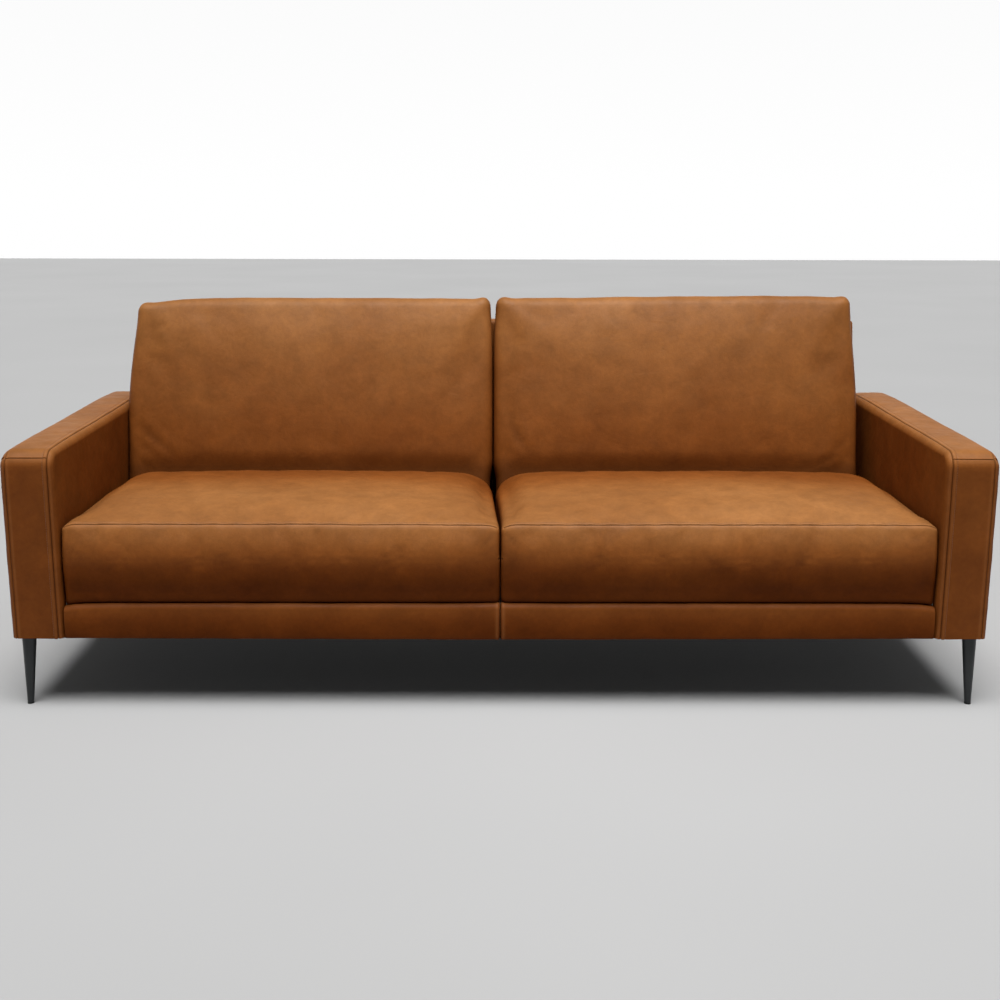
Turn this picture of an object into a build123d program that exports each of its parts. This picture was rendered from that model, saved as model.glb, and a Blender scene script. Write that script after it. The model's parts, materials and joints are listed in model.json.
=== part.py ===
from build123d import *
from math import cos, radians, tan
import os

# A two-seat-cushion sofa with low padded arms, leather covers and tapered metal legs.
# Millimetres. The front faces -Y, +Z is up, and the origin is the middle of the footprint
# on the floor. "Left" is -X and "right" is +X, as seen from in front.

# ---------------------------------------------------------------- driving dimensions
overall_width = 2230
overall_depth = 930
overall_height = 886
leg_height = 165  # floor to the underside of the frame
arm_width = 120
arm_height = 598
back_frame_height = 810
deck_height = 245.7  # floor to the top of the seat deck
seat_depth = 550  # arm front to the foot of the back cushions
seat_cushion_top = 448
back_lean = 14  # degrees from vertical
back_cushion_thickness = 180

# ---------------------------------------------------------------- layers and stock sizes
leather = 2.2
arm_side_foam = 6
arm_inner_foam = 13
arm_top_foam = 20
arm_board = 4
inside_back_foam = 10
webbing_thickness = 1.5
deck_cloth_thickness = 1.2
deck_pad_thickness = 8
dust_cloth_thickness = 1.4
rail_thickness = 25
post_depth = 45
spring_wire = 3.8  # diameter
clip_plate = 1.2

# ---------------------------------------------------------------- clearances
running_gap = 3  # between a loose cushion and its neighbours
cushion_gap = 2  # from the middle of the sofa to each cushion
deck_gap = 0.8  # under the loose cushions
frame_gap = 2.5  # between an arm and what stands between the arms
layer_gap = 0.2

# ---------------------------------------------------------------- positions that follow
front = -overall_depth / 2
rear = overall_depth / 2
arm_outer = overall_width / 2
arm_inner = arm_outer - arm_width
frame_half_width = arm_inner - frame_gap
lean_slope = tan(radians(back_lean))
lean_cos = cos(radians(back_lean))
cushion_floor = deck_height + deck_gap
spring_height = spring_wire / 2  # wire centre above the rails
hook_radius = spring_wire / 2 + 0.1 + clip_plate
rail_top = deck_height - deck_cloth_thickness - deck_pad_thickness - spring_height - hook_radius - 0.4

os.makedirs("parts", exist_ok=True)


def save(piece, name):
    """Label a finished piece and write its STEP file."""
    piece.part.label = name
    export_step(piece.part, f"parts/{name}.step")


def place_box(x_range, y_range, z_range, mode=Mode.ADD):
    """A box between two corners, joined to the current part by the given mode."""
    spans = (x_range, y_range, z_range)
    centre = tuple((low + high) / 2 for low, high in spans)
    with Locations(centre):
        Box(*(high - low for low, high in spans), mode=mode)


def to_side(side):
    """Mirror the current part, drawn on the right, when it belongs on the left."""
    if side == "left":
        mirror(about=Plane.YZ, mode=Mode.REPLACE)


def back_line(z, setback=0):
    """Y of the back cushions' front plane at height z, set back square to the plane."""
    foot = front + seat_depth
    return foot + (z - cushion_floor) * lean_slope + setback / lean_cos


def leaning_slab(setback, thickness, z_low, z_high):
    """Outline, in Y and Z, of a slab that leans with the back."""
    return [
        (back_line(z_low, setback), z_low),
        (back_line(z_low, setback + thickness), z_low),
        (back_line(z_high, setback + thickness), z_high),
        (back_line(z_high, setback), z_high),
    ]


# ================================================================ bolts between seat, back and arms
# Each bolt runs along X from inside the seat or back frame into the arm's timber.
bolt_radius = 4
bolt_hole_radius = 4.5
bolt_head_flats = 13
bolt_head_height = 5.3
bolt_grip = 26  # into the arm's timber
low_bolts = [(-300, leg_height + 23), (120, leg_height + 23)]  # Y and Z, through the side rails
high_bolts = [(rear - 38, 450)]  # through the back posts


def bolt_holes(points, x_low, x_high):
    """Cut clearance holes along X on the right of the current part."""
    with BuildSketch(Plane.YZ.offset(x_low)) as holes:
        with Locations(*points):
            Circle(bolt_hole_radius)
    extrude(holes.sketch, amount=x_high - x_low, mode=Mode.SUBTRACT)


# ================================================================ seat frame
front_rail_face = front + 24
rear_rail_rear = back_line(cushion_floor, back_cushion_thickness) + 1
rail_front_inner = front_rail_face + rail_thickness
rail_rear_inner = rear_rail_rear - rail_thickness

with BuildPart() as seat_front_rail:
    place_box(
        (-frame_half_width, frame_half_width), (front_rail_face, rail_front_inner), (leg_height, rail_top)
    )
save(seat_front_rail, "seat_front_rail")

with BuildPart() as seat_rear_rail:
    place_box(
        (-frame_half_width, frame_half_width), (rail_rear_inner, rear_rail_rear), (leg_height, rail_top)
    )
save(seat_rear_rail, "seat_rear_rail")

side_rail_inner = frame_half_width - rail_thickness
for side in ("left", "right"):
    with BuildPart() as seat_side_rail:
        place_box(
            (side_rail_inner, frame_half_width), (rail_front_inner, rail_rear_inner), (leg_height, rail_top)
        )
        bolt_holes(low_bolts, side_rail_inner, frame_half_width)
        to_side(side)
    save(seat_side_rail, f"seat_{side}_rail")

centre_rail_drop = 12  # leaves room for the springs to sink
with BuildPart() as seat_centre_rail:
    place_box(
        (-rail_thickness / 2, rail_thickness / 2),
        (rail_front_inner, rail_rear_inner),
        (leg_height, rail_top - centre_rail_drop),
    )
save(seat_centre_rail, "seat_centre_rail")

# Triangular glue blocks in the four corners of the seat frame
corner_block_leg = 75
corner_block_height = 45
with BuildPart() as corner_blocks:
    with BuildSketch(Plane.XY.offset(leg_height)):
        for x_corner, x_way in ((-side_rail_inner, 1), (side_rail_inner, -1)):
            for y_corner, y_way in ((rail_front_inner, 1), (rail_rear_inner, -1)):
                with BuildLine():
                    Polyline(
                        (x_corner, y_corner),
                        (x_corner + x_way * corner_block_leg, y_corner),
                        (x_corner, y_corner + y_way * corner_block_leg),
                        close=True,
                    )
                make_face()
    extrude(amount=corner_block_height)
save(corner_blocks, "corner_blocks")

# ================================================================ seat suspension
springs_per_seat = 5
spring_half_width = 24
spring_pitch = 25  # from one cross bar to the next
spring_z = rail_top + spring_height
spring_front = front_rail_face + 9
spring_rear_limit = rear_rail_rear - 9
spring_bars = int((spring_rear_limit - spring_front) / spring_pitch)
spring_pitch_fitted = (spring_rear_limit - spring_front) / spring_bars
seat_bay = (side_rail_inner - rail_thickness / 2) / springs_per_seat
spring_places = [rail_thickness / 2 + seat_bay * (i + 0.5) for i in range(springs_per_seat)]
spring_centres = [-x for x in reversed(spring_places)] + spring_places

# One sinuous spring: cross bars joined by U turns, swept once and repeated
zigzag = []
for bar in range(spring_bars + 1):
    bar_y = spring_front + bar * spring_pitch_fitted
    ends = (-spring_half_width, spring_half_width)
    zigzag += [(x, bar_y, spring_z) for x in (ends if bar % 2 == 0 else reversed(ends))]

with BuildPart() as one_spring:
    with BuildLine() as spring_path:
        FilletPolyline(*zigzag, radius=spring_pitch_fitted / 2 - 0.2)
    with BuildSketch(Plane(origin=spring_path.line @ 0, z_dir=spring_path.line % 0)):
        Circle(spring_wire / 2)
    sweep(path=spring_path.line)

with BuildPart() as seat_springs:
    with Locations(*[(x, 0, 0) for x in spring_centres]):
        add(one_spring.part)
save(seat_springs, "seat_springs")

# Folded steel clips: a tail nailed to the rail and a hook over the spring's end bar
clip_width = 16
clip_tail = 14
with BuildPart() as spring_clips:
    for clip_y, tail_way in ((spring_front, 1), (spring_rear_limit, -1)):
        with BuildSketch(Plane.YZ):
            with Locations((clip_y, spring_z)):
                Circle(hook_radius)
                Circle(hook_radius - clip_plate, mode=Mode.SUBTRACT)
            with Locations((clip_y, spring_z - hook_radius / 2)):
                Rectangle(2 * hook_radius, hook_radius, mode=Mode.SUBTRACT)
            side_y = clip_y + tail_way * (hook_radius - clip_plate / 2)
            with Locations((side_y, (spring_z + rail_top) / 2)):
                Rectangle(clip_plate, spring_z - rail_top)
            tail_y = clip_y + tail_way * (hook_radius - clip_plate + clip_tail / 2)
            with Locations((tail_y, rail_top + clip_plate / 2)):
                Rectangle(clip_tail, clip_plate)
        extrude(amount=clip_width / 2, both=True)
one_clip_row = spring_clips.part
with BuildPart() as spring_clips:
    with Locations(*[(x, 0, 0) for x in spring_centres]):
        add(one_clip_row)
save(spring_clips, "spring_clips")

# ================================================================ seat deck
deck_half_width = frame_half_width
deck_front = front_rail_face
deck_rear = rear_rail_rear
deck_pad_top = deck_height - deck_cloth_thickness

with BuildPart() as deck_pad:
    place_box(
        (-deck_half_width, deck_half_width),
        (deck_front, deck_rear),
        (deck_pad_top - deck_pad_thickness, deck_pad_top),
    )
save(deck_pad, "deck_pad")

with BuildPart() as deck_cloth:
    place_box((-deck_half_width, deck_half_width), (deck_front, deck_rear), (deck_pad_top, deck_height))
save(deck_cloth, "deck_cloth")

# ================================================================ front border under the seat cushions
border_face = front + 4
border_corner = 16
border_seam_gap = 0.6  # half the gap between the two leather panels


def border_outline(inset, start_x):
    """Side outline of the padded front border at start_x, drawn in from its front and top."""
    face = border_face + inset
    top = deck_height - inset
    corner = border_corner - inset
    with BuildSketch(Plane.YZ.offset(start_x)) as outline:
        with BuildLine():
            base_run = Line((deck_front, leg_height), (face, leg_height))
            front_run = Line(base_run @ 1, (face, top - corner))
            turn = RadiusArc(front_run @ 1, (face + corner, top), corner)
            Polyline(turn @ 1, (deck_front, top), base_run @ 0)
        make_face()
    return outline.sketch


border_panel_length = frame_half_width - border_seam_gap
border_skin = border_outline(0, border_seam_gap)
border_under_skin = border_outline(leather, border_seam_gap)
border_foam = border_outline(leather, 0)

for side in ("left", "right"):
    with BuildPart() as border_panel:
        extrude(border_skin, amount=border_panel_length)
        extrude(border_under_skin, amount=border_panel_length, mode=Mode.SUBTRACT)
        to_side(side)
    save(border_panel, f"border_{side}_panel")

with BuildPart() as border_padding:
    extrude(border_foam, amount=frame_half_width, both=True)
save(border_padding, "border_padding")

# ================================================================ arms
arm_corner_radius = 36  # front and rear top corners, seen from the side
arm_edge_radius = 14  # along the edges of the two side faces
seam_inset = 13  # from each side face to the seams of the top, front and rear panels
seam_drop = 10  # from the arm's top to the seams of the front and rear panels

arm_cavity_x = (arm_inner + leather + arm_inner_foam, arm_outer - leather - arm_side_foam)
arm_cavity_y = (front + leather + arm_inner_foam, rear - leather - arm_inner_foam)
arm_cavity_top = arm_height - leather - arm_top_foam
timber_x = (arm_cavity_x[0] + arm_board, arm_cavity_x[1] - arm_board)
arm_bottom_rail_top = leg_height + 45
arm_top_rail_bottom = arm_cavity_top - 28


def arm_block(inset):
    """The right arm's rounded outer shape, drawn in by an even inset; the bottom stays level."""
    block_height = arm_height - inset - leg_height
    with BuildPart() as block:
        with BuildSketch(Plane.YZ.offset(arm_inner + inset)):
            with Locations((0, leg_height + block_height / 2)):
                Rectangle(overall_depth - 2 * inset, block_height)
            fillet(vertices().group_by(Axis.Y)[-1], radius=arm_corner_radius - inset)
        extrude(amount=arm_width - 2 * inset)
        side_edges = faces().filter_by(Axis.X).edges()
        fillet(side_edges.filter_by(lambda edge: edge.center().Z > leg_height + 1), arm_edge_radius - inset)
    return block.part


arm_skin_outer = arm_block(0)
arm_skin_inner = arm_block(leather)

# Each leather panel is the stretch of the skin that falls inside its own box
outside = 10
seam_x = (arm_inner + seam_inset, arm_outer - seam_inset)
seam_z = arm_height - seam_drop
whole_y = (front - outside, rear + outside)
whole_z = (leg_height - outside, arm_height + outside)
arm_panel_boxes = {
    "outer_panel": ((seam_x[1], arm_outer + outside), whole_y, whole_z),
    "inner_panel": ((arm_inner - outside, seam_x[0]), whole_y, whole_z),
    "top_panel": (seam_x, whole_y, (seam_z, arm_height + outside)),
    "front_panel": (seam_x, (front - outside, 0), (leg_height - outside, seam_z)),
    "rear_panel": (seam_x, (0, rear + outside), (leg_height - outside, seam_z)),
}
# The foam is cut as slabs, and each one fills its side of the layer under the leather
slab_x = (arm_cavity_x[0] + layer_gap, arm_cavity_x[1] - layer_gap)
slab_z = (leg_height, arm_cavity_top - layer_gap)
arm_slab_boxes = [
    ((arm_cavity_x[1], arm_outer), whole_y, whole_z),
    ((arm_inner, arm_cavity_x[0]), whole_y, whole_z),
    (slab_x, whole_y, (arm_cavity_top, arm_height)),
    (slab_x, (front, arm_cavity_y[0]), slab_z),
    (slab_x, (arm_cavity_y[1], rear), slab_z),
]

# Legs stand under the corners of the arms, splayed outwards and to the front or rear
leg_corner_inset = 30  # from each face of the arm to the leg's centre
leg_splay = 6
leg_top_x = arm_outer - leg_corner_inset
leg_top_y = rear - leg_corner_inset - 2
stud_radius = 4
stud_clearance = 5
tee_flange_radius = 11
tee_flange_thickness = 1.6

for side in ("left", "right"):
    for panel_name, panel_box in arm_panel_boxes.items():
        with BuildPart() as arm_panel:
            add(arm_skin_outer)
            add(arm_skin_inner, mode=Mode.SUBTRACT)
            place_box(*panel_box, mode=Mode.INTERSECT)
            if panel_name == "inner_panel":
                bolt_holes(low_bolts + high_bolts, arm_inner - outside, seam_x[0])
            to_side(side)
        save(arm_panel, f"arm_{side}_{panel_name}")

    slabs = []
    for slab_box in arm_slab_boxes:
        with BuildPart() as arm_slab:
            add(arm_skin_inner)
            place_box(*slab_box, mode=Mode.INTERSECT)
            if slab_box[0][0] == arm_inner:
                bolt_holes(low_bolts + high_bolts, arm_inner, arm_cavity_x[0])
            to_side(side)
        slabs.append(arm_slab.part)
    with BuildPart() as arm_padding:
        add(Compound(children=slabs))
    save(arm_padding, f"arm_{side}_padding")

    with BuildPart() as arm_bottom_rail:
        place_box(timber_x, arm_cavity_y, (leg_height, arm_bottom_rail_top))
        with Locations(*[(leg_top_x, y, arm_bottom_rail_top) for y in (-leg_top_y, leg_top_y)]):
            CounterBoreHole(stud_clearance, tee_flange_radius + layer_gap, tee_flange_thickness)
        bolt_holes(low_bolts, timber_x[0], timber_x[0] + bolt_grip)
        to_side(side)
    save(arm_bottom_rail, f"arm_{side}_bottom_rail")

    with BuildPart() as arm_top_rail:
        place_box(timber_x, arm_cavity_y, (arm_top_rail_bottom, arm_cavity_top))
        to_side(side)
    save(arm_top_rail, f"arm_{side}_top_rail")

    with BuildPart() as arm_front_post:
        place_box(
            timber_x,
            (arm_cavity_y[0], arm_cavity_y[0] + post_depth),
            (arm_bottom_rail_top, arm_top_rail_bottom),
        )
        to_side(side)
    save(arm_front_post, f"arm_{side}_front_post")

    with BuildPart() as arm_rear_post:
        place_box(
            timber_x,
            (arm_cavity_y[1] - post_depth, arm_cavity_y[1]),
            (arm_bottom_rail_top, arm_top_rail_bottom),
        )
        bolt_holes(high_bolts, timber_x[0], timber_x[0] + bolt_grip)
        to_side(side)
    save(arm_rear_post, f"arm_{side}_rear_post")

# Thin boards on both faces of both arm frames, under the foam
with BuildPart() as arm_boards:
    place_box((timber_x[1], arm_cavity_x[1]), arm_cavity_y, (leg_height, arm_cavity_top))
    place_box((arm_cavity_x[0], timber_x[0]), arm_cavity_y, (leg_height, arm_cavity_top))
    bolt_holes(low_bolts + high_bolts, arm_cavity_x[0], timber_x[0])
    mirror(about=Plane.YZ)
save(arm_boards, "arm_boards")

# ================================================================ back frame
# Layers behind the back cushions, each counted square to the lean
inside_face = back_cushion_thickness + running_gap
inside_foam_face = inside_face + leather
webbing_face = inside_foam_face + inside_back_foam + layer_gap
post_face = webbing_face + webbing_thickness + layer_gap
outside_face = rear - leather
back_top_under = back_frame_height - leather
back_foot = cushion_floor - 8  # the inside layers tuck down to here, behind the deck
back_post_width = 35
back_top_rail_height = 28
post_top = back_top_under - back_top_rail_height
post_half_gap = frame_half_width - leather  # outer face of the outer posts

post_outline = [
    (rear_rail_rear + layer_gap, leg_height),
    (outside_face, leg_height),
    (outside_face, post_top),
    (back_line(post_top, post_face), post_top),
    (back_line(back_foot, post_face), back_foot),
    (rear_rail_rear + layer_gap, rail_top),
]
with BuildPart() as back_posts:
    with BuildSketch(Plane.YZ.offset(post_half_gap - back_post_width)):
        Polygon(*post_outline, align=None)
    extrude(amount=back_post_width)
    bolt_holes(high_bolts, post_half_gap - back_post_width, post_half_gap)
    mirror(about=Plane.YZ)
    with BuildSketch(Plane.YZ):
        Polygon(*post_outline, align=None)
    extrude(amount=back_post_width / 2, both=True)
save(back_posts, "back_posts")

with BuildPart() as back_top_rail:
    with BuildSketch(Plane.YZ):
        Polygon(
            (back_line(post_top, post_face), post_top),
            (outside_face, post_top),
            (outside_face, back_top_under),
            (back_line(back_top_under, post_face), back_top_under),
            align=None,
        )
    extrude(amount=post_half_gap, both=True)
save(back_top_rail, "back_top_rail")

# The rail that the outside back is stapled to, between the posts, one length in each bay
with BuildPart() as back_bottom_rail:
    place_box(
        (back_post_width / 2, post_half_gap - back_post_width),
        (outside_face - rail_thickness, outside_face),
        (leg_height, rail_top),
    )
    mirror(about=Plane.YZ)
save(back_bottom_rail, "back_bottom_rail")

webbing_straps = 6
webbing_width = 60
webbing_low = cushion_floor + 30
webbing_step = (post_top - webbing_width - webbing_low) / (webbing_straps - 1)
with BuildPart() as back_webbing:
    for strap in range(webbing_straps):
        strap_low = webbing_low + strap * webbing_step
        with BuildSketch(Plane.YZ):
            Polygon(
                *leaning_slab(webbing_face, webbing_thickness, strap_low, strap_low + webbing_width),
                align=None,
            )
        extrude(amount=post_half_gap, both=True)
save(back_webbing, "back_webbing")

with BuildPart() as inside_back_padding:
    with BuildSketch(Plane.YZ):
        Polygon(*leaning_slab(inside_foam_face, inside_back_foam, back_foot, back_top_under), align=None)
    extrude(amount=post_half_gap, both=True)
save(inside_back_padding, "inside_back_padding")

with BuildPart() as inside_back_panel:
    with BuildSketch(Plane.YZ):
        Polygon(*leaning_slab(inside_face, leather, back_foot, back_top_under), align=None)
    extrude(amount=post_half_gap, both=True)
save(inside_back_panel, "inside_back_panel")

with BuildPart() as outside_back_panel:
    place_box((-post_half_gap, post_half_gap), (outside_face, rear), (leg_height, back_top_under))
save(outside_back_panel, "outside_back_panel")

with BuildPart() as back_top_panel:
    place_box(
        (-frame_half_width, frame_half_width),
        (back_line(back_top_under, inside_face), rear),
        (back_top_under, back_frame_height),
    )
save(back_top_panel, "back_top_panel")

with BuildPart() as back_side_panels:
    with BuildSketch(Plane.YZ.offset(post_half_gap)):
        Polygon(
            (back_line(back_foot, inside_face), back_foot),
            (rear, back_foot),
            (rear, back_top_under),
            (back_line(back_top_under, inside_face), back_top_under),
            align=None,
        )
    extrude(amount=leather)
    bolt_holes(high_bolts, post_half_gap, frame_half_width)
    mirror(about=Plane.YZ)
save(back_side_panels, "back_side_panels")

# ================================================================ frame bolts
with BuildPart() as frame_bolts:
    for points, head_x in ((low_bolts, side_rail_inner), (high_bolts, post_half_gap - back_post_width)):
        with BuildSketch(Plane.YZ.offset(head_x - bolt_head_height)):
            with Locations(*points):
                RegularPolygon(bolt_head_flats / 2, 6, major_radius=False)
        extrude(amount=bolt_head_height)
        with BuildSketch(Plane.YZ.offset(head_x)):
            with Locations(*points):
                Circle(bolt_radius)
        extrude(amount=timber_x[0] + bolt_grip - 1 - head_x)
    mirror(about=Plane.YZ)
save(frame_bolts, "frame_bolts")

# ================================================================ legs
leg_top_radius = 16.5
leg_foot_radius = 7.2
leg_wall = 2
leg_cap = 6  # solid metal under the frame, bored for the stud
glide_height = 4
glide_radius = 7.6  # the glide stands a little proud of the foot
glide_stem_radius = 4.6
glide_stem_height = 14
stud_top = arm_bottom_rail_top - 6
stud_foot = leg_height - 12
tee_barrel_length = 12
spare = 12  # extra length that the level cuts at the top and foot remove

corners = {
    "front_left": (-1, -1),
    "front_right": (1, -1),
    "rear_left": (-1, 1),
    "rear_right": (1, 1),
}


def leg_foot_plane(x_way, y_way):
    """Plane at the foot, square to the splayed axis of one leg."""
    top = Vector(x_way * leg_top_x, y_way * leg_top_y, leg_height)
    foot = top + Vector(x_way * leg_splay, y_way * leg_splay, -leg_height)
    return Plane(origin=foot, z_dir=top - foot)


leg_taper = (leg_top_radius - leg_foot_radius) / leg_height
for corner, (x_way, y_way) in corners.items():
    foot_plane = leg_foot_plane(x_way, y_way)
    with BuildPart() as leg:
        with BuildSketch(foot_plane):
            Circle(leg_foot_radius)
        with BuildSketch(foot_plane.offset(leg_height + spare)):
            Circle(leg_top_radius + leg_taper * spare)
        loft()
        with BuildSketch(foot_plane):
            Circle(leg_foot_radius - leg_wall)
        with BuildSketch(foot_plane.offset(leg_height - leg_cap)):
            Circle(leg_top_radius - leg_wall - leg_taper * leg_cap)
        loft(mode=Mode.SUBTRACT)
        split(bisect_by=Plane.XY.offset(leg_height), keep=Keep.BOTTOM)
        split(bisect_by=Plane.XY.offset(glide_height), keep=Keep.TOP)
        with BuildSketch(Plane.XY.offset(leg_height)):
            with Locations((x_way * leg_top_x, y_way * leg_top_y)):
                Circle(stud_radius)
        extrude(amount=-(leg_cap + 2), mode=Mode.SUBTRACT)
    save(leg, f"leg_{corner}")

leg_tops = [(x_way * leg_top_x, y_way * leg_top_y) for x_way, y_way in corners.values()]

# Threaded studs stand in the legs' caps and turn into the tee nuts
with BuildPart() as leg_studs:
    with BuildSketch(Plane.XY.offset(stud_foot)):
        with Locations(*leg_tops):
            Circle(stud_radius)
    extrude(amount=stud_top - stud_foot)
save(leg_studs, "leg_studs")

with BuildPart() as tee_nuts:
    with BuildSketch(Plane.XY.offset(arm_bottom_rail_top - tee_flange_thickness)):
        with Locations(*leg_tops):
            Circle(tee_flange_radius)
    extrude(amount=tee_flange_thickness)
    with BuildSketch(Plane.XY.offset(arm_bottom_rail_top - tee_flange_thickness - tee_barrel_length)):
        with Locations(*leg_tops):
            Circle(stud_clearance)
    extrude(amount=tee_barrel_length)
    with Locations(*[(x, y, arm_bottom_rail_top) for x, y in leg_tops]):
        Hole(stud_radius)
save(tee_nuts, "tee_nuts")

with BuildPart() as leg_glides:
    for x_way, y_way in corners.values():
        with BuildSketch(leg_foot_plane(x_way, y_way).offset(-spare)):
            Circle(glide_radius)
        extrude(amount=2 * spare)
    split(bisect_by=Plane.XY.offset(glide_height), keep=Keep.BOTTOM)
    split(bisect_by=Plane.XY, keep=Keep.TOP)
    for x_way, y_way in corners.values():
        with BuildSketch(leg_foot_plane(x_way, y_way).offset(glide_height / 2)):
            Circle(glide_stem_radius)
        extrude(amount=glide_stem_height)
save(leg_glides, "leg_glides")

# ================================================================ dust cover
dust_inset = 12
with BuildPart() as dust_cover:
    with BuildSketch(Plane.XY.offset(leg_height - dust_cloth_thickness)):
        Rectangle(overall_width - 2 * dust_inset, overall_depth - 2 * dust_inset)
        with Locations(*leg_tops):
            Circle(leg_top_radius + 2, mode=Mode.SUBTRACT)
    extrude(amount=dust_cloth_thickness)
save(dust_cover, "dust_cover")

# ================================================================ loose cushions
seat_face = front + 12
cushion_edge_radius = 20
back_side_gap = 20  # from the arm's inner face to the back cushion, with both cushions centred
back_drift = 17  # the loose back cushions have settled this far towards the left arm
back_top_fall = back_cushion_thickness * tan(radians(back_lean)) * lean_cos

seat_cushion_outline = [
    (seat_face, cushion_floor),
    (back_line(cushion_floor, -running_gap), cushion_floor),
    (back_line(seat_cushion_top, -running_gap), seat_cushion_top),
    (seat_face, seat_cushion_top),
]
back_cushion_outline = [
    (back_line(cushion_floor), cushion_floor),
    (back_line(cushion_floor, back_cushion_thickness), cushion_floor),
    (
        back_line(overall_height - back_top_fall, back_cushion_thickness),
        overall_height - back_top_fall,
    ),
    (back_line(overall_height), overall_height),
]


def cushion_block(outline, inner_x, outer_x, inset):
    """A right-hand cushion: its side outline run from inner_x to outer_x, with all edges rounded."""
    with BuildPart() as block:
        with BuildSketch(Plane.YZ.offset(inner_x + inset)) as side_outline:
            Polygon(*outline, align=None)
            if inset:
                offset(amount=-inset, kind=Kind.INTERSECTION, mode=Mode.REPLACE)
        extrude(amount=outer_x - inner_x - 2 * inset)
        fillet(edges(), cushion_edge_radius - inset)
    return block.part


seat_outer_x = arm_inner - running_gap
back_outer_x = arm_inner - back_side_gap
loose_cushions = [
    ("seat", "left", seat_cushion_outline, cushion_gap, seat_outer_x),
    ("seat", "right", seat_cushion_outline, cushion_gap, seat_outer_x),
    ("back", "left", back_cushion_outline, cushion_gap + back_drift, back_outer_x + back_drift),
    ("back", "right", back_cushion_outline, cushion_gap - back_drift, back_outer_x - back_drift),
]
for kind, side, outline, inner_x, outer_x in loose_cushions:
    cushion_outside = cushion_block(outline, inner_x, outer_x, 0)
    cushion_inside = cushion_block(outline, inner_x, outer_x, leather)
    with BuildPart() as cushion_cover:
        add(cushion_outside)
        add(cushion_inside, mode=Mode.SUBTRACT)
        to_side(side)
    save(cushion_cover, f"{kind}_cushion_{side}_cover")

    with BuildPart() as cushion_core:
        add(cushion_inside)
        to_side(side)
    save(cushion_core, f"{kind}_cushion_{side}_core")
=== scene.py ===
"""A two-seat-cushion leather sofa: the soft covers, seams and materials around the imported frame.

Metres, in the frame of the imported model: the front faces -Y and +Z is up. The padded pieces are built
as dense rounded boxes, and their seams are worked into the dense mesh. Before that, a cloth simulation
puffs up a coarser copy of each loose cushion, and the dense one takes on its movement.
"""
import json
import math
import bpy
import numpy as np
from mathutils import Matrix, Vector, kdtree, noise


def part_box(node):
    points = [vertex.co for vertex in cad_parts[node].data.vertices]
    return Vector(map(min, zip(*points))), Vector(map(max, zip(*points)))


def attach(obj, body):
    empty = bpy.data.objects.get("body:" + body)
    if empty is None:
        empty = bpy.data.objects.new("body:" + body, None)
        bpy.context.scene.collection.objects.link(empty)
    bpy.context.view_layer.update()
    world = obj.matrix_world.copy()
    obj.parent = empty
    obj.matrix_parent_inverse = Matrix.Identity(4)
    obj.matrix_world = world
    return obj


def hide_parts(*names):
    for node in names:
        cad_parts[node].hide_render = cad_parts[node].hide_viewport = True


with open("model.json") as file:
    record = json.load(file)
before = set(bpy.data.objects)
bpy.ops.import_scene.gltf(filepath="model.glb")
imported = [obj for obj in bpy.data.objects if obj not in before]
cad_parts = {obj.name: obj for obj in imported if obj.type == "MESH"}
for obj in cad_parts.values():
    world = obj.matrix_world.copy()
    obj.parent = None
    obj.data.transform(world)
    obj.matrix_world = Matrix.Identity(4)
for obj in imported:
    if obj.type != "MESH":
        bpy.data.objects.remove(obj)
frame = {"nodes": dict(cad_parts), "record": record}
scene = bpy.context.scene
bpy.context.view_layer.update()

MM = 0.001
SIDES = {"left": -1, "right": 1}

# ------------------------------ places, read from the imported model
arm_low, arm_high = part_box("arm_right_inner_panel")[0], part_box("arm_right_outer_panel")[1]
ARM_INNER, ARM_OUTER, ARM_TOP = arm_low.x, arm_high.x, arm_high.z
FRONT, REAR = arm_low.y, arm_high.y
FRAME_BASE = arm_low.z
SEAM_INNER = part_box("arm_right_front_panel")[0].x
SEAM_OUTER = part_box("arm_right_front_panel")[1].x
SEAM_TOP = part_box("arm_right_top_panel")[0].z
BORDER_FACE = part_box("border_right_panel")[0].y
DECK_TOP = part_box("deck_cloth")[1].z
LEAN = math.radians(14)


def cushion_box(kind, side):
    """Low and high corners of a loose cushion, mirrored to the right if it is the left one."""
    low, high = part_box(f"{kind}_cushion_{side}_cover")
    inner, outer = sorted((abs(low.x), abs(high.x)))
    if low.x < 0 < high.x:  # its inner face is a little past the middle of the sofa
        inner = -inner
    return np.array((inner, low.y, low.z)), np.array((outer, high.y, high.z))


# ============================== materials
# Painted shade: the colour that seams, folds and creases are darkened towards.
PAINTED_SHADE_COLOUR = (0.035, 0.010, 0.003)
# Painted highlight: the lighter colour painted on the rolls beside seams.
PAINTED_HIGHLIGHT_COLOUR = (0.44, 0.17, 0.055)
THREAD_DARK, THREAD_LIGHT = (0.17, 0.065, 0.024), (0.30, 0.13, 0.055)


def new_material(name):
    """An empty node material; returns it with its node tree and its shader."""
    material = bpy.data.materials.new(name)
    material.use_nodes = True
    tree = material.node_tree
    return material, tree, tree.nodes["Principled BSDF"]


def object_coordinates(tree, stretch=(1, 1, 1), shift=(0, 0, 0)):
    """Object coordinates, in metres, stretched along the axes and then shifted."""
    coordinates = tree.nodes.new("ShaderNodeTexCoord")
    mapping = tree.nodes.new("ShaderNodeMapping")
    mapping.inputs["Scale"].default_value = stretch
    mapping.inputs["Location"].default_value = shift
    tree.links.new(coordinates.outputs["Object"], mapping.inputs["Vector"])
    return mapping.outputs["Vector"]


def texture(tree, kind, vector, **inputs):
    """A texture node of a kind that reads a vector; inputs are the values of its other sockets."""
    node = tree.nodes.new(f"ShaderNodeTex{kind}")
    for name, value in inputs.items():
        node.inputs[name].default_value = value
    tree.links.new(vector, node.inputs["Vector"])
    return node


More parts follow.
